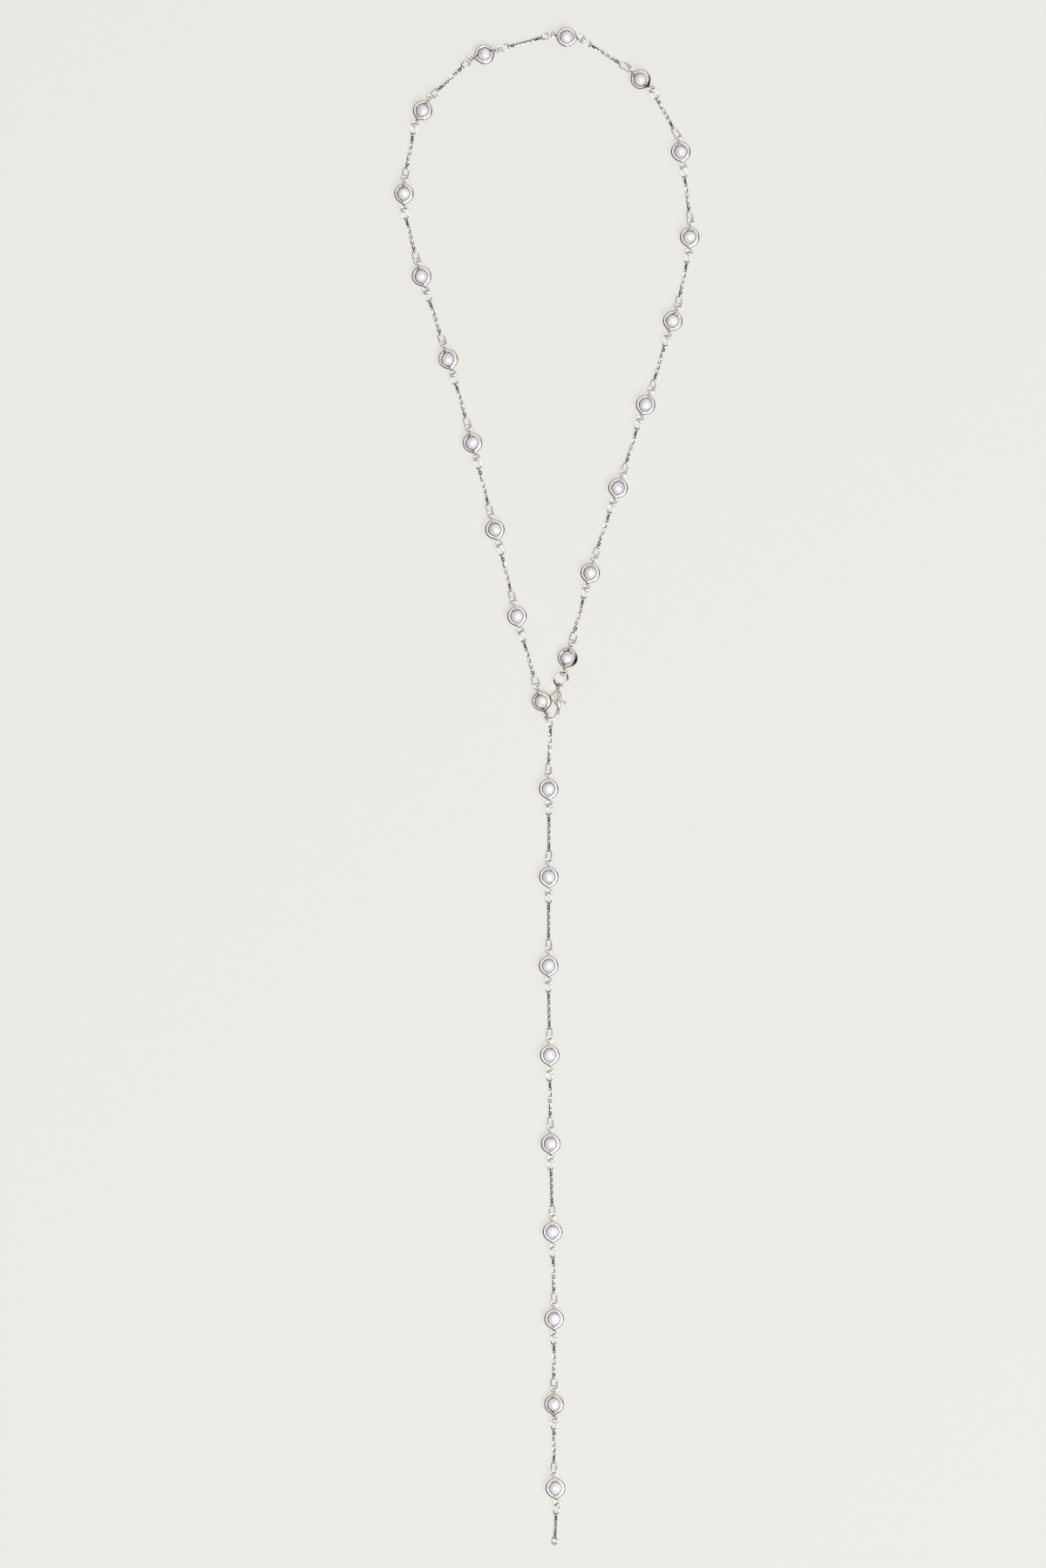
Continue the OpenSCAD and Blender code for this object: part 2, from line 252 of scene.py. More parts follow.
# %% [markdown]
# ## Copies with their own mesh
# What repeats is modelled once, as a template, and copied. Each copy has a mesh of its own, and the move
# goes into the mesh, so the object itself stays at the origin as the frame's nodes do. The copies of one
# node are then joined. A link also gets a shade value at its points, which its metal reads later.

# %% Copy, place and fuse
def moved_copy(template, matrix):
    copy = template.copy()
    copy.data = template.data.copy()
    bpy.context.collection.objects.link(copy)
    copy.data.transform(matrix)
    return copy


def put(template, matrix):
    """A copy moved in millimetres and then shrunk to metres round the origin."""
    return moved_copy(template, Matrix.Scale(MM, 4) @ matrix)


def give_shade(piece, shade):
    """One shade value for a whole link: 0 is bright metal, 1 is black."""
    for value in piece.data.attributes.new("shade", "FLOAT", "POINT").data:
        value.value = shade


def fuse(parts, name):
    """Joins all parts into the first one."""
    start_fresh()
    for part in parts:
        part.select_set(True)
    bpy.context.view_layer.objects.active = parts[0]
    bpy.ops.object.join()
    return new_piece(name)


def faces_of(piece):
    return len(piece.data.polygons)


# %% The links and round rings as templates
oval_link = make_link("oval_link", OVAL_LENGTH, OVAL_WIDTH, OVAL_WIRE, 28, 10)
fine_link = make_link("fine_link", FINE_LENGTH, FINE_WIDTH, FINE_WIRE, 12, 5)
setting_loop = make_link("setting_loop", LOOP_D, LOOP_D, LOOP_WIRE, 28, 10)
print("faces of an oval link and a fine one:", faces_of(oval_link), faces_of(fine_link))

# %% [markdown]
# ## The ring setting
# A setting is a deep band with an inward rim on both faces, so the pearl can't fall out. A lathe profile
# is the plain way to get the rim, the bevel and the cavity in one closed wall: the profile is drawn once
# as a ring of points and spun round the pearl's axis. Afterwards the band is no longer round: it runs
# out in a point towards each wire loop, and the rim's opening has the same eye shape. That is done by
# moving the spun points outwards, to a line that touches the circle and meets the other side's line in
# the point. The point stops above the lower rim, so the clasp's gate passes under it.

# %% Profile of the band, as radius and height
BAND_R = 3.05
BAND_CAVITY_R = 2.75
RIM_UNDER = 0.85
RIM_TOP = 1.15
OPENING_R = 2.1
OPENING_REACH = 2.9
UNDER_REACH = 2.5
POINT_REACH = 3.6
POINT_LOW = -0.75
EDGE_R = 2.6
RIM_EDGE_R = 2.68
LATHE_STEPS = 72
UPPER_PROFILE = [
    (BAND_CAVITY_R, 0.0),
    (BAND_CAVITY_R, RIM_UNDER - 0.12),
    (BAND_CAVITY_R - 0.12, RIM_UNDER),
    (OPENING_R + 0.10, RIM_UNDER),
    (OPENING_R + 0.02, RIM_UNDER + 0.07),
    (OPENING_R, RIM_UNDER + 0.16),
    (OPENING_R + 0.03, RIM_TOP - 0.05),
    (OPENING_R + 0.10, RIM_TOP),
    (EDGE_R + 0.02, RIM_TOP),
    (RIM_EDGE_R, RIM_TOP - 0.012),
    (3.00, RIM_TOP - 0.20),
    (3.04, RIM_TOP - 0.25),
    (BAND_R, RIM_TOP - 0.32),
]
print("points in half the profile:", len(UPPER_PROFILE))


# %% Spin the profile and draw out its points
def pointed(radius, reach, angle):
    """Radius at an angle of a circle whose outline runs out to a point at reach, on both sides of X."""
    touch = math.acos(radius / reach)
    away = abs(math.remainder(angle, math.pi))
    if away >= touch:
        return radius
    return radius / math.cos(touch - away)


def draw_out_points(band):
    """Pulls the upper rim's edge and the wall out to a point, and each rim's opening to one of its own."""
    for vert in band.data.vertices:
        r = vert.co.xy.length
        angle = math.atan2(vert.co.y, vert.co.x)
        lowest = POINT_LOW - 0.005 if r > BAND_R - 0.1 else 0.5
        reach = OPENING_REACH if vert.co.z > 0 else UNDER_REACH
        if r > EDGE_R and vert.co.z > lowest:
            vert.co.xy *= pointed(BAND_R, POINT_REACH, angle) / BAND_R
        elif r < OPENING_R + 0.2:
            vert.co.xy *= (r + pointed(OPENING_R, reach, angle) - OPENING_R) / r


def make_band():
    point_foot = [(BAND_R, POINT_LOW), (BAND_R, POINT_LOW - 0.01)]
    profile = UPPER_PROFILE + point_foot + [(r, -z) for r, z in reversed(UPPER_PROFILE) if z > 0]
    start_fresh()
    bpy.ops.mesh.primitive_circle_add(vertices=len(profile), radius=1)
    band = new_piece("band")
    for vert, (r, z) in zip(band.data.vertices, profile):
        vert.co = (r, 0, z)
    bpy.ops.object.mode_set(mode="EDIT")
    bpy.ops.mesh.select_all(action="SELECT")
    bpy.ops.mesh.spin(steps=LATHE_STEPS, angle=math.tau, center=(0, 0, 0), axis=(0, 0, 1))
    bpy.ops.mesh.select_all(action="SELECT")
    bpy.ops.mesh.remove_doubles(threshold=0.001)
    bpy.ops.object.mode_set(mode="OBJECT")
    draw_out_points(band)
    bpy.ops.object.mode_set(mode="EDIT")
    finish_edit(band, 32)
    return band


band = make_band()
print("faces of a band:", faces_of(band))

# %% Add the necks and the wire loops
NECK_AT = 3.62
NECK_SIZE = (0.55, 0.5, 0.9)


def make_neck(side):
    """Short bar from the band's point into the wire loop, with its edges rounded."""
    start_fresh()
    bpy.ops.mesh.primitive_cube_add(size=1, location=(side * NECK_AT, 0, 0))
    neck = new_piece("neck")
    neck.scale = NECK_SIZE
    bpy.ops.object.transform_apply(location=True, rotation=True, scale=True)
    bpy.ops.object.mode_set(mode="EDIT")
    pick(neck, lambda co: co.x * side > NECK_AT)
    bpy.ops.transform.resize(value=(1, 0.7, 0.45))
    finish_edit(neck)
    add_modifier(neck, "BEVEL", width=0.07, segments=2, limit_method="NONE")
    bpy.ops.object.shade_smooth_by_angle(angle=math.radians(50))
    return neck


setting_parts = [band, make_neck(1), make_neck(-1)]
for side in (1, -1):
    setting_parts.append(moved_copy(setting_loop, Matrix.Translation((side * LOOP_REACH, 0, 0))))
setting = fuse(setting_parts, "setting")
print("faces of a setting:", faces_of(setting))

# %% [markdown]
# ## Pearls
# A pearl is nearly a ball, and the small differences from one to the next are what the eye reads as
# real. Each one starts as the same sphere, turned at random and squeezed by less than one percent, so it
# still sits between the rims of its setting and on the surface below.

# %% Make a pearl for each station
SMALLEST_SQUEEZE = 0.992
start_fresh()
bpy.ops.mesh.primitive_uv_sphere_add(segments=40, ring_count=24, radius=PEARL_R)
pearl = new_piece("pearl_template")
bpy.ops.object.mode_set(mode="EDIT")
pick(pearl, lambda co: co.z > PEARL_R * 0.2)
bpy.ops.transform.resize(value=(0.997, 0.997, 0.996))
pick(pearl, lambda co: co.z < -PEARL_R * 0.6)
bpy.ops.transform.resize(value=(0.996, 0.996, 1))
finish_edit(pearl, 60)

pearls = []
for i in range(len(STATIONS)):
    turn = turned(random.uniform(0, 360), random.uniform(-90, 90), random.uniform(0, 360))
    squeeze_x, squeeze_y = random.uniform(SMALLEST_SQUEEZE, 1), random.uniform(SMALLEST_SQUEEZE, 1)
    squeeze = Matrix.Diagonal((squeeze_x, squeeze_y, 1, 1))
    centre = station_place(i).translation
    one = put(pearl, Matrix.Translation(centre) @ turn @ squeeze)
    one.name = one.data.name = f"nacre_pearl_{i + 1:02d}"
    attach(one, "necklace")
    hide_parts(f"pearl_{i + 1:02d}")
    pearls.append(one)
print("pearls:", len(pearls))

# %% [markdown]
# ## Settings on the chain
# The same setting is copied to all 27 stations. Those of the neck loop and those of the tail are fused to
# one piece each, as in the frame, so that each piece stands for one node. On the real one a polished wall
# mirrors a dark room where it leans away from the light, as a black crescent. That crescent is painted on
# here: each copy's wall gets a painted shade towards the lower right, strong on three settings and faint on
# the others.

# %% Paint shade on the walls of a setting
# Painted shade on the setting walls: full on two settings, less on the loop's last one, faint on the rest.
STRONG_SHADE = {0: 1.0, 7: 1.0, 17: 0.7}
LITTLE_SHADE = 0.25
WIRE_SHADE = 0.2
SHADE_TOWARDS = -22
SHADE_SPREAD = 48
SHADE_FADE = 0.3
WALL_END = POINT_REACH + 0.1


def put_setting(i):
    """A setting at station i, with a painted shade value on the outer wall towards the lower right."""
    place = station_place(i)
    one = put(setting, place)
    values = one.data.attributes.new("shade", "FLOAT", "POINT").data
    for vert, value in zip(setting.data.vertices, values):
        way = place.to_3x3() @ Vector((vert.co.x, vert.co.y, 0))
        away = math.remainder(math.degrees(math.atan2(way.y, way.x)) - SHADE_TOWARDS, 360)
        on_wall = RIM_EDGE_R - 0.01 < vert.co.xy.length < WALL_END
        if abs(vert.co.x) > WALL_END:
            value.value = WIRE_SHADE
        elif on_wall and abs(away) < SHADE_SPREAD:
            facing = math.cos(math.radians(away) * 90 / SHADE_SPREAD)
            value.value = STRONG_SHADE.get(i, LITTLE_SHADE) * facing**SHADE_FADE
    return one


# %% Place the settings
settings_loop = fuse([put_setting(i) for i in range(LOOP_LAST + 1)], "ring_settings_loop")
settings_tail = fuse([put_setting(i) for i in range(LOOP_LAST + 1, LAST + 1)], "ring_settings_tail")
for piece, node in ((settings_loop, "settings_loop"), (settings_tail, "settings_tail")):
    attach(piece, "necklace")
    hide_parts(node)
print("faces of the settings:", faces_of(settings_loop), faces_of(settings_tail))

# %% [markdown]
# ## Oval links
# An oval link hangs in each wire loop, rolled about half a right angle against it, because two round
# wires can't lie in one plane. It comes down from the loop's height towards the surface. The clasp holds
# the oval link under the last station of the neck loop, so that one has a place of its own.

# %% Places of the oval links
CLASP_LIFT = 0.1
CLASP_EYE = Vector((3.9, 31.35, 1.0 + CLASP_LIFT))
CLASP_HEADING = 258
CAUGHT_NEAR = Vector((9.99, -1.28, 1.157))
CAUGHT_HEADING = 283.9
CAUGHT_PITCH = -1.3
CAUGHT_ROLL = -51.2
clasp_place = placed(Vector((CLASP_EYE.x, CLASP_EYE.y, CLASP_LIFT)), CLASP_HEADING)
caught_place = (clasp_place @ CAUGHT_NEAR, CAUGHT_HEADING, CAUGHT_PITCH, CAUGHT_ROLL)


def start_of(i):
    return loop_centre(i, 1)


def end_of(i):
    return loop_centre(i + 1, -1)


def leading_oval(i):
    if i == LOOP_LAST:
        return caught_place
    return oval_place(start_of(i), end_of(i), STATIONS[i][ROLL])


def trailing_oval(i):
    target = far_end(caught_place) if i == LOOP_LAST else start_of(i)
    return oval_place(end_of(i), target, -STATIONS[i + 1][ROLL])


def below_last(length):
    return loop_centre(LAST, 1) + turned(TAIL_HEADING) @ Vector((length, 0, 0))


last_oval = oval_place(below_last(0), below_last(SLACK_SPAN), STATIONS[LAST][ROLL])
end_ring_r = (END_RING_D - END_RING_WIRE) / 2
end_ring_centre = below_last(TAIL_END_LENGTH - END_RING_D / 2)
end_ring_centre.z = end_ring_r * math.sin(math.radians(END_RING_ROLL)) + END_RING_WIRE / 2 + 0.025


# %% Fuse the oval links of the loop and of the tail
OVAL_SHADES = (0.1, 0.35)


def put_oval(place):
    link = put(oval_link, placed(*place) @ Matrix.Translation((OVAL_REACH / 2, 0, 0)))
    give_shade(link, random.uniform(*OVAL_SHADES))
    return link


def ovals(first, last):
    return [put_oval(place(i)) for i in range(first, last + 1) for place in (leading_oval, trailing_oval)]


ovals_loop = fuse(ovals(0, LOOP_LAST - 1), "oval_wire_links_loop")
ovals_tail = fuse(ovals(LOOP_LAST, LAST - 1) + [put_oval(last_oval)], "oval_wire_links_tail")
for piece, node in ((ovals_loop, "oval_links_loop"), (ovals_tail, "oval_links_tail")):
    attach(piece, "necklace")
    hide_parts(node)
print("faces of the oval links:", faces_of(ovals_loop), faces_of(ovals_tail))

# %% [markdown]
# ## Fine chain
# The fine links are strung between the far ends of two oval links. Each link is turned a quarter turn from
# the one before it, and reaches through both its neighbours. The first link hooks round the oval link's end
# wire, so its middle lies half a link from that wire, less the two half wires. The rest are spread evenly,
# a little slack, and the small turn that is left over is shared by all of them. So small a link catches the
# light or misses it as a whole, and that light and shade is painted on, link by link, as its shade value.

# %% String the links between two wires
LINKS_PER_STRETCH = 12
LINKS_AT_TAIL_END = 8


def fine_run(start, end, start_roll, end_roll, count):
    """Matrices of the fine links between the wires at start and end."""
    span = (end - start).xy.length
    first = (FINE_LENGTH - FINE_WIRE) / 2 - (OVAL_WIRE + FINE_WIRE) / 2
    step = (span - 2 * first) / (count - 1)
    half = (FINE_LENGTH - FINE_WIRE) / 2
    left_over = math.remainder(end_roll - start_roll - 90 * (count + 1), 180)
    matrices = []
    for k in range(count):
        middle = first + step * k
        near = along(start, end, max(middle - half, 0) / span)
        far = along(start, end, min(middle + half, span) / span)
        at = along(start, end, middle / span)
        pitch = math.degrees(math.atan2(far.z - near.z, (far - near).xy.length))
        roll = start_roll + 90 * (k + 1) + left_over * (k + 1) / (count + 1)
        at.z = (near.z + far.z + 2 * at.z) / 4
        matrices.append(placed(at, plan_heading(end - start), pitch, roll))
    print(f"step of a stretch {step:.3f} mm, twist {left_over:.0f}")
    return matrices


def stretch(i):
    lead, trail = leading_oval(i), trailing_oval(i)
    return fine_run(far_end(lead), far_end(trail), lead[3], -trail[3], LINKS_PER_STRETCH)


# %% Paint shade on the links one by one
END_SHADES = (0.2, 1.0)
EVEN_SHADES = (0.25, 0.5)
ODD_SHADES = (0, 0.1)


def put_run(matrices):
    """The fine links of one stretch, with painted shade: every other one is dark, and the second from each
    end is black.
    """
    links = []
    for k, matrix in enumerate(matrices):
        from_end = min(k, len(matrices) - 1 - k)
        shade = random.uniform(*(ODD_SHADES if k % 2 else EVEN_SHADES))
        if from_end < len(END_SHADES):
            shade = END_SHADES[from_end]
        link = put(fine_link, matrix)
        give_shade(link, shade)
        links.append(link)
    return links


# %% Fuse the fine links of the loop and of the tail
ring_near = end_ring_centre - turned(TAIL_HEADING) @ Vector((end_ring_r, 0, 0))
tail_end_run = fine_run(far_end(last_oval), ring_near, last_oval[3], END_RING_ROLL, LINKS_AT_TAIL_END)
loop_links = [link for i in range(LOOP_LAST) for link in put_run(stretch(i))]
tail_links = [link for i in range(LOOP_LAST, LAST) for link in put_run(stretch(i))] + put_run(tail_end_run)
print("fine links:", len(loop_links) + len(tail_links))
fine_loop = fuse(loop_links, "cable_chain_loop")
fine_tail = fuse(tail_links, "cable_chain_tail")
for piece, node in ((fine_loop, "fine_chain_loop"), (fine_tail, "fine_chain_tail")):
    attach(piece, "necklace")
    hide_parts(node)
print("faces of the fine chain:", faces_of(fine_loop), faces_of(fine_tail))

# %% [markdown]
# ## Jump ring and end ring
# A jump ring is not soldered: it is a length of wire bent round, and its two cut ends face each other
# across a hairline gap. A wire's round section is spun nearly all the way round, and both ends are closed
# with a face. The ring at the tail's end is made the same way.

# %% Spin an open ring of wire
JUMP_D = 5.1
JUMP_WIRE = 0.6
JUMP_REACH = 2.28
JUMP_ROLL = -28
JUMP_CUT_TURN = math.radians(62)
END_CUT_TURN = 0.9
CUT_ANGLE = 1.6


def close_ends(piece):
    """Fills each open end of a piece with one face."""
    mesh = bmesh.new()
    mesh.from_mesh(piece.data)
    bmesh.ops.holes_fill(mesh, edges=[edge for edge in mesh.edges if edge.is_boundary])
    bmesh.ops.recalc_face_normals(mesh, faces=mesh.faces)
    mesh.to_mesh(piece.data)
    mesh.free()


def make_open_ring(name, outer, wire, steps, across):
    """A ring of wire in the XY plane, with its cut on the X axis."""
    start_fresh()
    radius = (outer - wire) / 2
    bpy.ops.mesh.primitive_circle_add(
        vertices=across, radius=wire / 2, location=(radius, 0, 0), rotation=(math.pi / 2, 0, 0)
    )
    ring = new_piece(name)
    bpy.ops.object.transform_apply(location=True, rotation=True, scale=True)
    bpy.ops.object.mode_set(mode="EDIT")
    bpy.ops.mesh.select_all(action="SELECT")
    turn = math.tau - math.radians(CUT_ANGLE)
    bpy.ops.mesh.spin(steps=steps, angle=turn, center=(0, 0, 0), axis=(0, 0, 1))
    bpy.ops.object.mode_set(mode="OBJECT")
    close_ends(ring)
    bpy.ops.object.shade_smooth_by_angle(angle=math.radians(50))
    return ring


# %% Hang the jump ring between the first loop and the clasp's eye
jump_template = make_open_ring("jump_template", JUMP_D, JUMP_WIRE, 72, 14)
jump_from = loop_centre(0, -1)
jump_way = CLASP_EYE - jump_from
jump_pitch = math.degrees(math.atan2(jump_way.z, jump_way.xy.length))
jump_place = placed(jump_from, plan_heading(jump_way), jump_pitch, JUMP_ROLL)
jump_cut = Matrix.Rotation(JUMP_CUT_TURN, 4, "Z")
jump_ring = put(jump_template, jump_place @ Matrix.Translation((JUMP_REACH, 0, 0)) @ jump_cut)
jump_ring.name = jump_ring.data.name = "open_jump_ring"

# %% Put the end ring on the last fine link
end_template = make_open_ring("end_template", END_RING_D, END_RING_WIRE, 44, 12)
end_place = placed(end_ring_centre, TAIL_HEADING, 0, END_RING_ROLL)
end_ring = put(end_template, end_place @ Matrix.Rotation(END_CUT_TURN, 4, "Z"))
end_ring.name = end_ring.data.name = "open_end_ring"
for piece, node in ((jump_ring, "jump_ring"), (end_ring, "end_ring")):
    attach(piece, "necklace")
    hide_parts(node)
print("faces of the jump ring and the end ring:", faces_of(jump_ring), faces_of(end_ring))

# %% [markdown]
# ## Lobster clasp
# The clasp's body is one casting: a hook, a head that holds the hinge, and a cast eye. The hook's flat
# oval section is extruded and spun along its route, which keeps the section's size all the way, and the
# arm is widened afterwards. The head is its plan outline, extruded and beveled until its edges are as
# soft as a polished casting's. A slot is cut through it for the lever, and a rib runs over it.

# %% Cast the hook
HOOK_W = 0.7
HOOK_LOW = 0.5
HOOK_HIGH = 1.05
ARM_START = 5.9
ARM_Y = 1.35
ARM_W = 0.9
ARM_WIDER = ARM_W / HOOK_W
BOW = Vector((8.9, -0.65, 0))
BOW_IN = 1.65
CORNER = Vector((10.3, -1.3, 0))
STUB_START = 9.3
STUB_ROUND = 0.08


def push(x, y):
    """Extrudes the selected section in a straight line."""
    bpy.ops.mesh.extrude_region_move(TRANSFORM_OT_translate={"value": (x, y, 0)})


def bend(centre, steps):
    """Spins the selected section a quarter turn clockwise, seen from above."""
    bpy.ops.mesh.spin(steps=steps, angle=math.pi / 2, center=centre, axis=(0, 0, 1))


def widen_arm(hook):
    """Moves the hook's outer side out, all along the arm and less and less round the bow."""
    for vert in hook.data.vertices:
        out = vert.co - BOW
        if vert.co.x <= BOW.x:
            if vert.co.y > 0:
                vert.co.y = BOW.y + BOW_IN + (out.y - BOW_IN) * ARM_WIDER
        elif vert.co.y >= BOW.y:
            wider = 1 + (ARM_WIDER - 1) * out.y / out.xy.length
            new_r = BOW_IN + (out.xy.length - BOW_IN) * wider
            vert.co.xy = BOW.xy + out.xy.normalized() * new_r


def make_hook():
    start_fresh()
    middle = (HOOK_LOW + HOOK_HIGH) / 2
    bpy.ops.mesh.primitive_circle_add(
        vertices=16, radius=HOOK_W / 2, location=(ARM_START, ARM_Y, middle), rotation=(0, math.pi / 2, 0)
    )
    hook = new_piece("hook")
    bpy.ops.object.transform_apply(location=True, rotation=True, scale=True)
    bpy.ops.object.mode_set(mode="EDIT")
    bpy.ops.mesh.select_all(action="SELECT")
    bpy.ops.transform.resize(value=(1, 1, (HOOK_HIGH - HOOK_LOW) / HOOK_W))
    push(BOW.x - ARM_START, 0)
    bend(BOW + Vector((0, 0, middle)), 14)
    push(0, CORNER.y - BOW.y)
    bend(CORNER + Vector((0, 0, middle)), 7)
    push(STUB_START + STUB_ROUND - CORNER.x, 0)
    push(-STUB_ROUND, 0)
    bpy.ops.transform.resize(value=(1, 0.75, 0.75))
    finish_edit(hook, 50)
    close_ends(hook)
    widen_arm(hook)
    return hook


hook = make_hook()
print("faces of the hook:", faces_of(hook))


# %% Cast the head and cut its slot
HEAD_PLAN = [
    (0.80, -0.35), (1.60, -0.55), (2.60, -1.35), (3.40, -1.80), (4.30, -1.95), (4.90, -1.60),
    (5.15, -0.68), (6.20, 0.66), (6.90, 1.00), (6.90, 1.88), (5.20, 1.86), (3.40, 1.70),
    (2.20, 1.20), (1.40, 0.50), (0.80, 0.35),
]
HEAD_LOW = 0.15
HEAD_HIGH = 1.4
PIN_AT = Vector((3.7, 0, 0))
PIN_R = 0.3
LEVER_LOW = 0.55
LEVER_T = 0.4
GAP = 0.05
SLOT_FROM = 2.75
SLOT_TO = 5.6
HEAD_ROUND = 0.34


def make_plate(name, outline, low, high, bevel):
    """A plan outline as a solid plate with rounded edges."""
    start_fresh()
    bpy.ops.mesh.primitive_circle_add(vertices=len(outline), radius=1, fill_type="NGON")
    plate = new_piece(name)
    for vert, (x, y) in zip(plate.data.vertices, outline):
        vert.co = (x, y, low)
    bpy.ops.object.mode_set(mode="EDIT")
    bpy.ops.mesh.select_all(action="SELECT")
    bpy.ops.mesh.extrude_region_move(TRANSFORM_OT_translate={"value": (0, 0, high - low)})
    finish_edit(plate)
    if bevel:
        add_modifier(plate, "BEVEL", width=bevel, segments=4, limit_method="ANGLE")
        bpy.ops.object.shade_smooth_by_angle(angle=math.radians(50))
    return plate


def make_disc(name, radius, low, high, bevel):
    """A disc round the pin's axis."""
    start_fresh()
    middle = (low + high) / 2
    bpy.ops.mesh.primitive_cylinder_add(
        vertices=32, radius=radius, depth=high - low, location=(PIN_AT.x, PIN_AT.y, middle)
    )
    disc = new_piece(name)
    bpy.ops.object.transform_apply(location=True, rotation=True, scale=True)
    if bevel:
        add_modifier(disc, "BEVEL", width=bevel, segments=3, limit_method="ANGLE")
    bpy.ops.object.shade_smooth_by_angle(angle=math.radians(50))
    return disc


def cut_away(piece, cutter):
    """Takes the cutter's shape out of the piece, and the cutter out of the scene."""
    start_fresh()
    add_modifier(piece, "BOOLEAN", operation="DIFFERENCE", object=cutter, solver="EXACT")
    bpy.data.objects.remove(cutter)


def make_head():
    head = make_plate("head", HEAD_PLAN, HEAD_LOW, HEAD_HIGH, HEAD_ROUND)
    slot_plan = [(SLOT_FROM, -4), (SLOT_TO, -4), (SLOT_TO, 4), (SLOT_FROM, 4)]
    slot = make_plate("slot", slot_plan, LEVER_LOW - GAP, LEVER_LOW + LEVER_T + GAP, 0)
    cut_away(head, slot)
    return head


head = make_head()
print("faces of the head:", faces_of(head))

# %% Add the rib, the pin and the eye
RIB_SIZE = (3.3, 0.55, 0.5)
RIB_TURN = math.radians(-13.5)
RIB_AT = (4.0, 0.72, HEAD_HIGH - 0.38)
EYE_D = 1.9
EYE_WIRE = 0.4
EYE_ROLL = 34


def make_rib():
    """Rounded ridge that carries the arm's line up over the head."""
    start_fresh()
    bpy.ops.mesh.primitive_uv_sphere_add(segments=24, ring_count=14, radius=1)
    rib = new_piece("rib")
    bpy.ops.object.mode_set(mode="EDIT")
    bpy.ops.mesh.select_all(action="SELECT")
    bpy.ops.transform.resize(value=RIB_SIZE)
    bpy.ops.transform.rotate(value=RIB_TURN, orient_axis="Z", center_override=(0, 0, 0))
    bpy.ops.transform.translate(value=RIB_AT)
    finish_edit(rib, 60)
    return rib


rib = make_rib()
pin = make_disc("pin", PIN_R, HEAD_LOW + 0.1, HEAD_HIGH + 0.03, 0.03)
eye = make_link("eye", EYE_D, EYE_D, EYE_WIRE, 28, 12)
eye.data.transform(placed(Vector((0, 0, CLASP_EYE.z - CLASP_LIFT)), 0, 0, EYE_ROLL))
clasp_parts = [hook, head, rib, pin, eye]
clasp = fuse([put(part, clasp_place) for part in clasp_parts], "cast_clasp_body")
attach(clasp, "necklace")
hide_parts("clasp_body")
print("faces of the clasp's body:", faces_of(clasp))

# %% [markdown]
# ## The clasp's lever
# The lever turns on the pin in the slot. One arm is the gate that closes the hook, the other ends in the
# nub that a thumbnail pulls. It is the only piece that moves, so it rides on a body of its own.

# %% Shape the lever
BOSS_R = 0.68
NUB_R = 0.47
NUB_AT = Vector((4.9, 3.1, 0))
GATE_PLAN = [
    (3.35, -0.45), (4.75, -2.10), (9.15, -2.10), (9.15, -1.60), (5.30, -1.60), (4.25, -0.20),
]
NUB_PLAN = [(3.40, 0.40), (4.52, 3.00), (5.20, 2.90), (4.30, 0.10)]


def make_nub():
    start_fresh()
    bpy.ops.mesh.primitive_uv_sphere_add(segments=20, ring_count=12, radius=NUB_R, location=NUB_AT)
    nub = new_piece("nub")
    bpy.ops.object.transform_apply(location=True, rotation=True, scale=True)
    bpy.ops.object.mode_set(mode="EDIT")
    bpy.ops.mesh.select_all(action="SELECT")
    bpy.ops.transform.resize(value=(1, 1, 0.75))
    bpy.ops.transform.translate(value=(0, 0, LEVER_LOW + LEVER_T / 2))
    finish_edit(nub, 60)
    return nub


lever_high = LEVER_LOW + LEVER_T
lever_parts = [
    make_plate("gate", GATE_PLAN, LEVER_LOW, lever_high, 0.09),
    make_plate("nub_arm", NUB_PLAN, LEVER_LOW, lever_high, 0.07),
    make_disc("boss", BOSS_R, LEVER_LOW, lever_high, 0.04),
    make_nub(),
]
for part in lever_parts[:3]:
    cut_away(part, make_disc("bore", PIN_R + GAP, 0, 2, 0))
lever = fuse([put(part, clasp_place) for part in lever_parts], "spring_lever")
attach(lever, "lever")
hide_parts("clasp_lever")
print("faces of the lever:", faces_of(lever))

# %% Remove the templates
start_fresh()
templates = [oval_link, fine_link, setting_loop, setting, pearl, jump_template, end_template]
templates += clasp_parts + lever_parts
for template in templates:
    bpy.data.objects.remove(template)
print("templates removed:", len(templates))

# %% [markdown]
# ## Surfaces
# Silver-tone plating is bright and nearly even, but hands leave a faint change in gloss and a breath of
# tarnish. The sides of a piece are painted darker than its top, as painted shade for the dark surroundings
# that they mirror. Three finishes share these effects, so they are a node group: it gives out masks for the
# tarnish and for the painted shade of the sides, and a roughness. The pearl's nacre has its own soft
# clouds.

# %% Helpers that add a node and link it
def feed(tree, value, socket):
    """Links an output to a socket, or writes a plain value into it."""
    if isinstance(value, bpy.types.NodeSocket):
        tree.links.new(value, socket)
    else:
        socket.default_value = value


def add_noise(tree, scale, detail):
    """Soft noise on the piece's own coordinates. Its scale is per metre: 500 gives clouds of about 2 mm."""
    place = tree.nodes.new("ShaderNodeTexCoord")
    noise = tree.nodes.new("ShaderNodeTexNoise")
    tree.links.new(place.outputs["Object"], noise.inputs["Vector"])
    feed(tree, scale, noise.inputs["Scale"])
    noise.inputs["Detail"].default_value = detail
    return noise.outputs["Fac"]


def map_range(tree, value, start, end, low=0, high=1, curve="LINEAR"):
    """Turns start into low and end into high, and stays at them outside."""
    node = tree.nodes.new("ShaderNodeMapRange")
    node.interpolation_type = curve
    feed(tree, value, node.inputs["Value"])
    node.inputs["From Min"].default_value = start
    node.inputs["From Max"].default_value = end
    feed(tree, low, node.inputs["To Min"])
    feed(tree, high, node.inputs["To Max"])
    return node.outputs["Result"]


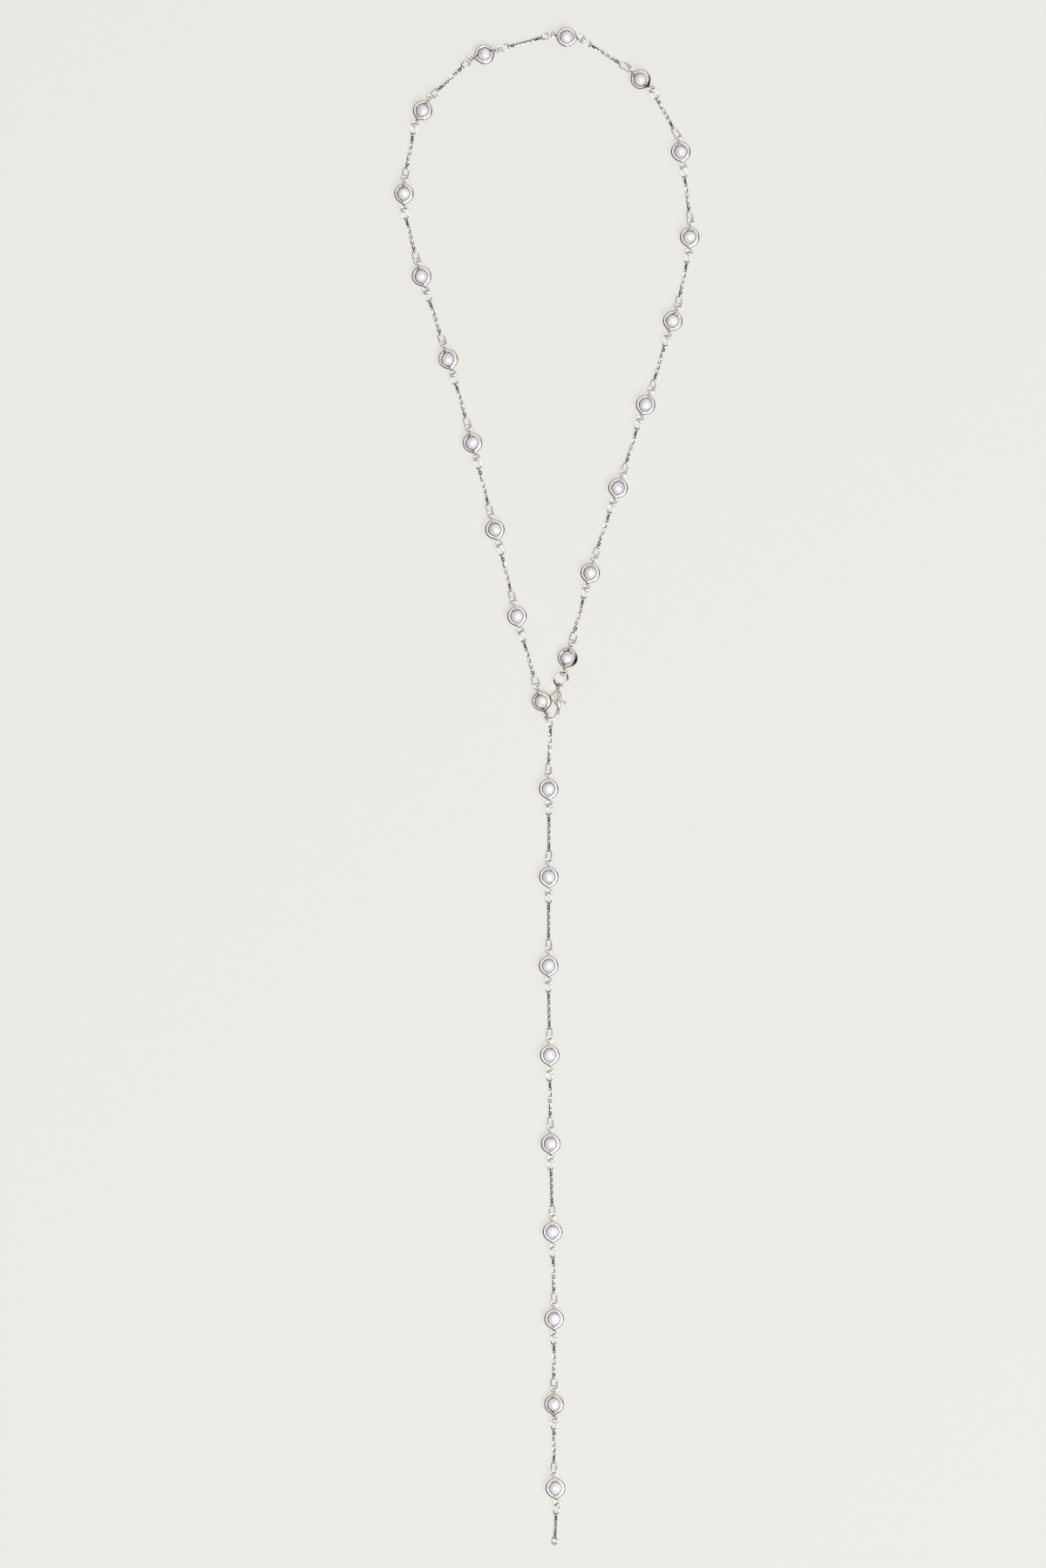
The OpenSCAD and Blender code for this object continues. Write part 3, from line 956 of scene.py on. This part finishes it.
def mix_colours(tree, share, first, second):
    """The first colour where the share is 0, the second where it is 1."""
    node = tree.nodes.new("ShaderNodeMix")
    node.data_type = "RGBA"
    feed(tree, share, node.inputs["Factor"])
    for colour, socket in ((first, node.inputs["A"]), (second, node.inputs["B"])):
        feed(tree, (*colour, 1) if isinstance(colour, tuple) else colour, socket)
    return node.outputs["Result"]


def new_material(name):
    """A node material and its shader."""
    material = bpy.data.materials.new(name)
    material.use_nodes = True
    return material, material.node_tree.nodes["Principled BSDF"]


# %% The shared group for handled metal and painted side shade
def make_handled_and_side_shade_group():
    tree = bpy.data.node_groups.new("handled_metal_and_side_shade", "ShaderNodeTree")
    for name in ("Fineness", "Smooth", "Rough"):
        tree.interface.new_socket(name=name, in_out="INPUT", socket_type="NodeSocketFloat")
    for name in ("Tarnish", "Side", "Roughness"):
        tree.interface.new_socket(name=name, in_out="OUTPUT", socket_type="NodeSocketFloat")
    given = tree.nodes.new("NodeGroupInput").outputs
    result = tree.nodes.new("NodeGroupOutput").inputs
    clouds = add_noise(tree, given["Fineness"], 3)
    gloss = map_range(tree, clouds, 0.35, 0.65, given["Smooth"], given["Rough"])
    tree.links.new(gloss, result["Roughness"])
    tree.links.new(map_range(tree, add_noise(tree, 420, 2), 0.45, 0.75), result["Tarnish"])
    # Painted shade: faces that stand sideways get a mask for a darker side colour.
    surface = tree.nodes.new("ShaderNodeNewGeometry")
    facing = tree.nodes.new("ShaderNodeSeparateXYZ")
    tree.links.new(surface.outputs["Normal"], facing.inputs["Vector"])
    upright = tree.nodes.new("ShaderNodeMath")
    upright.operation = "ABSOLUTE"
    tree.links.new(facing.outputs["Z"], upright.inputs[0])
    tree.links.new(map_range(tree, upright.outputs["Value"], 0.85, 0.45), result["Side"])
    return tree


handled_and_side_shade = make_handled_and_side_shade_group()
print("sockets of the shared group:", [item.name for item in handled_and_side_shade.interface.items_tree])


# %% Metals of the settings, the chain and the clasp
def make_metal(name, bright, dull, side, fineness, smooth, rough):
    material, shader = new_material(name)
    tree = material.node_tree
    shader.inputs["Metallic"].default_value = 1
    handling_and_shade = tree.nodes.new("ShaderNodeGroup")
    handling_and_shade.node_tree = handled_and_side_shade
    for label, value in (("Fineness", fineness), ("Smooth", smooth), ("Rough", rough)):
        handling_and_shade.inputs[label].default_value = value
    tarnished = mix_colours(tree, handling_and_shade.outputs["Tarnish"], bright, dull)
    # Painted shade: the sides take the darker side colour.
    colour = mix_colours(tree, handling_and_shade.outputs["Side"], tarnished, side)
    tree.links.new(colour, shader.inputs["Base Color"])
    tree.links.new(handling_and_shade.outputs["Roughness"], shader.inputs["Roughness"])
    return material


# Painted shade: the darker colours painted on the sides of the metal.
SHADED_SIDE_SILVER = (0.50, 0.445, 0.42)
SHADED_SIDE_CLASP = (0.42, 0.37, 0.345)
setting_silver = make_metal(
    "setting_silver", (0.86, 0.83, 0.81), (0.72, 0.67, 0.64), SHADED_SIDE_SILVER, 900, 0.08, 0.16
)
chain_silver = make_metal(
    "chain_silver", (0.82, 0.79, 0.77), (0.60, 0.54, 0.50), SHADED_SIDE_SILVER, 1500, 0.12, 0.24
)
clasp_silver = make_metal(
    "clasp_silver", (0.62, 0.585, 0.55), (0.29, 0.255, 0.225), SHADED_SIDE_CLASP, 600, 0.10, 0.22
)

# %% [markdown]
# ## Painted shade on the metal
# Each setting and link holds a shade value, most of it painted shade, and the metal reads it as an
# attribute. A light shade only darkens the colour. Even a dark metal mirrors brightly at a slant, so where
# the shade is strong the surface stops being a metal and keeps no gloss, and looks black from every side.

# %% Darken two metals by the shade values, which paint shade on them
# Painted shade: the colour that a full shade value gives.
PAINTED_SHADE_BLACK = (0.012, 0.008, 0.006)


def add_shade(material):
    tree = material.node_tree
    shader = tree.nodes["Principled BSDF"]
    metal_colour = shader.inputs["Base Color"].links[0].from_socket
    attribute = tree.nodes.new("ShaderNodeAttribute")
    attribute.attribute_name = "shade"
    shade = attribute.outputs["Fac"]
    tree.links.new(mix_colours(tree, shade, metal_colour, PAINTED_SHADE_BLACK), shader.inputs["Base Color"])
    tree.links.new(map_range(tree, shade, 0.5, 0.9, 1, 0), shader.inputs["Metallic"])
    shader.inputs["Specular IOR Level"].default_value = 0


for metal in (setting_silver, chain_silver):
    add_shade(metal)
print("metals:", [metal.name for metal in (setting_silver, chain_silver, clasp_silver)])


# %% Nacre of the pearls
def make_nacre():
    material, shader = new_material("nacre")
    tree = material.node_tree
    shader.inputs["Roughness"].default_value = 0.36
    shader.inputs["IOR"].default_value = 1.65
    shader.inputs["Coat Weight"].default_value = 1
    shader.inputs["Coat IOR"].default_value = 1.65
    shader.inputs["Coat Roughness"].default_value = 0.3
    shader.inputs["Subsurface Weight"].default_value = 0.25
    shader.inputs["Subsurface Radius"].default_value = (0.6, 0.5, 0.55)
    shader.inputs["Subsurface Scale"].default_value = 0.0008
    tint = tree.nodes.new("ShaderNodeValToRGB")
    deep, pale = tint.color_ramp.elements
    deep.position, deep.color = 0.3, (0.52, 0.51, 0.545, 1)
    pale.position, pale.color = 0.7, (0.72, 0.71, 0.745, 1)
    tree.links.new(add_noise(tree, 520, 2), tint.inputs["Fac"])
    tree.links.new(tint.outputs["Color"], shader.inputs["Base Color"])
    bump = tree.nodes.new("ShaderNodeBump")
    bump.inputs["Strength"].default_value = 0.06
    bump.inputs["Distance"].default_value = 0.0001
    tree.links.new(add_noise(tree, 1400, 2), bump.inputs["Height"])
    tree.links.new(bump.outputs["Normal"], shader.inputs["Normal"])
    return material


nacre = make_nacre()


# %% Dress each piece in its finish
def dress(piece, material):
    piece.data.materials.clear()
    piece.data.materials.append(material)


FINISHED = [
    (nacre, pearls),
    (setting_silver, [settings_loop, settings_tail]),
    (chain_silver, [ovals_loop, ovals_tail, fine_loop, fine_tail]),
    (clasp_silver, [jump_ring, end_ring, clasp, lever]),
]
for material, pieces in FINISHED:
    for piece in pieces:
        dress(piece, material)
    print("pieces in", material.name + ":", len(pieces))

# %% [markdown]
# ## Floor, light and camera
# The necklace lies on a plain pale surface and is seen from straight above. Polished wire shows nothing
# but what it mirrors, so the surroundings are drawn with care: a bright sky overhead, and a dark band
# from the horizon well up, all round and darkest in front, which gives every bevel its thin dark line.
# The sky is a warm grey on the left, as if a card stood there.

# %% Floor
start_fresh()
bpy.ops.mesh.primitive_plane_add(size=6)
floor = new_piece("floor")
floor_paint, paper = new_material("pale_floor")
paper.inputs["Base Color"].default_value = (0.12, 0.118, 0.113, 1)
paper.inputs["Roughness"].default_value = 0.9
paper.inputs["Specular IOR Level"].default_value = 0
paper.inputs["Emission Color"].default_value = (0.838, 0.823, 0.783, 1)
paper.inputs["Emission Strength"].default_value = 0.795
dress(floor, floor_paint)
print("floor's size in metres:", tuple(floor.dimensions.xy))


# %% Surroundings that the metal mirrors
SKY = (1.0, 0.99, 0.98)
WARM_CARD = (0.82, 0.77, 0.74)
DARK_BAND = (0.02, 0.016, 0.013)


def make_surroundings():
    world = bpy.data.worlds.new("studio")
    world.use_nodes = True
    bpy.context.scene.world = world
    tree = world.node_tree
    place = tree.nodes.new("ShaderNodeTexCoord")
    way = tree.nodes.new("ShaderNodeSeparateXYZ")
    tree.links.new(place.outputs["Generated"], way.inputs["Vector"])
    low = map_range(tree, way.outputs["Z"], 0.6, 0.8, 1, 0, "SMOOTHSTEP")
    front = map_range(tree, way.outputs["Y"], 0.7, 0.1, 0.55, 1, "SMOOTHSTEP")
    dark = tree.nodes.new("ShaderNodeMath")
    dark.operation = "MULTIPLY"
    tree.links.new(low, dark.inputs[0])
    tree.links.new(front, dark.inputs[1])
    card = map_range(tree, way.outputs["X"], -0.12, -0.42, 0, 1, "SMOOTHSTEP")
    colour = mix_colours(tree, dark.outputs["Value"], mix_colours(tree, card, SKY, WARM_CARD), DARK_BAND)
    back = tree.nodes["Background"]
    tree.links.new(colour, back.inputs["Color"])
    back.inputs["Strength"].default_value = 1.1
    return world


studio = make_surroundings()
print("nodes of the surroundings:", len(studio.node_tree.nodes))


# %% Key light, aimed at the middle of the necklace
LIGHT_AT = Vector((0.6, -0.8, 1.9))
start_fresh()
bpy.ops.object.light_add(type="AREA", location=LIGHT_AT)
light = bpy.context.object
light.name = "key"
light.data.shape = "DISK"
light.data.size = 1.5
light.data.energy = 50
light.rotation_euler = (-LIGHT_AT).to_track_quat("-Z", "Y").to_euler()
print("light's distance in metres:", round(LIGHT_AT.length, 2))

# %% Camera straight above, with a long lens
PICTURE_HEIGHT = 0.4906
PICTURE_MIDDLE = (-0.00723, 0.00061)
CAMERA_HEIGHT = 3.0
SENSOR_HEIGHT = 36
start_fresh()
bpy.ops.object.camera_add(location=(*PICTURE_MIDDLE, CAMERA_HEIGHT), rotation=(0, 0, 0))
camera = bpy.context.object
camera.data.sensor_fit = "VERTICAL"
camera.data.sensor_height = SENSOR_HEIGHT
camera.data.lens = SENSOR_HEIGHT * CAMERA_HEIGHT / PICTURE_HEIGHT
camera.data.clip_end = 20
bpy.context.scene.camera = camera
bpy.context.scene.view_settings.view_transform = "Standard"
print("lens in millimetres:", round(camera.data.lens))
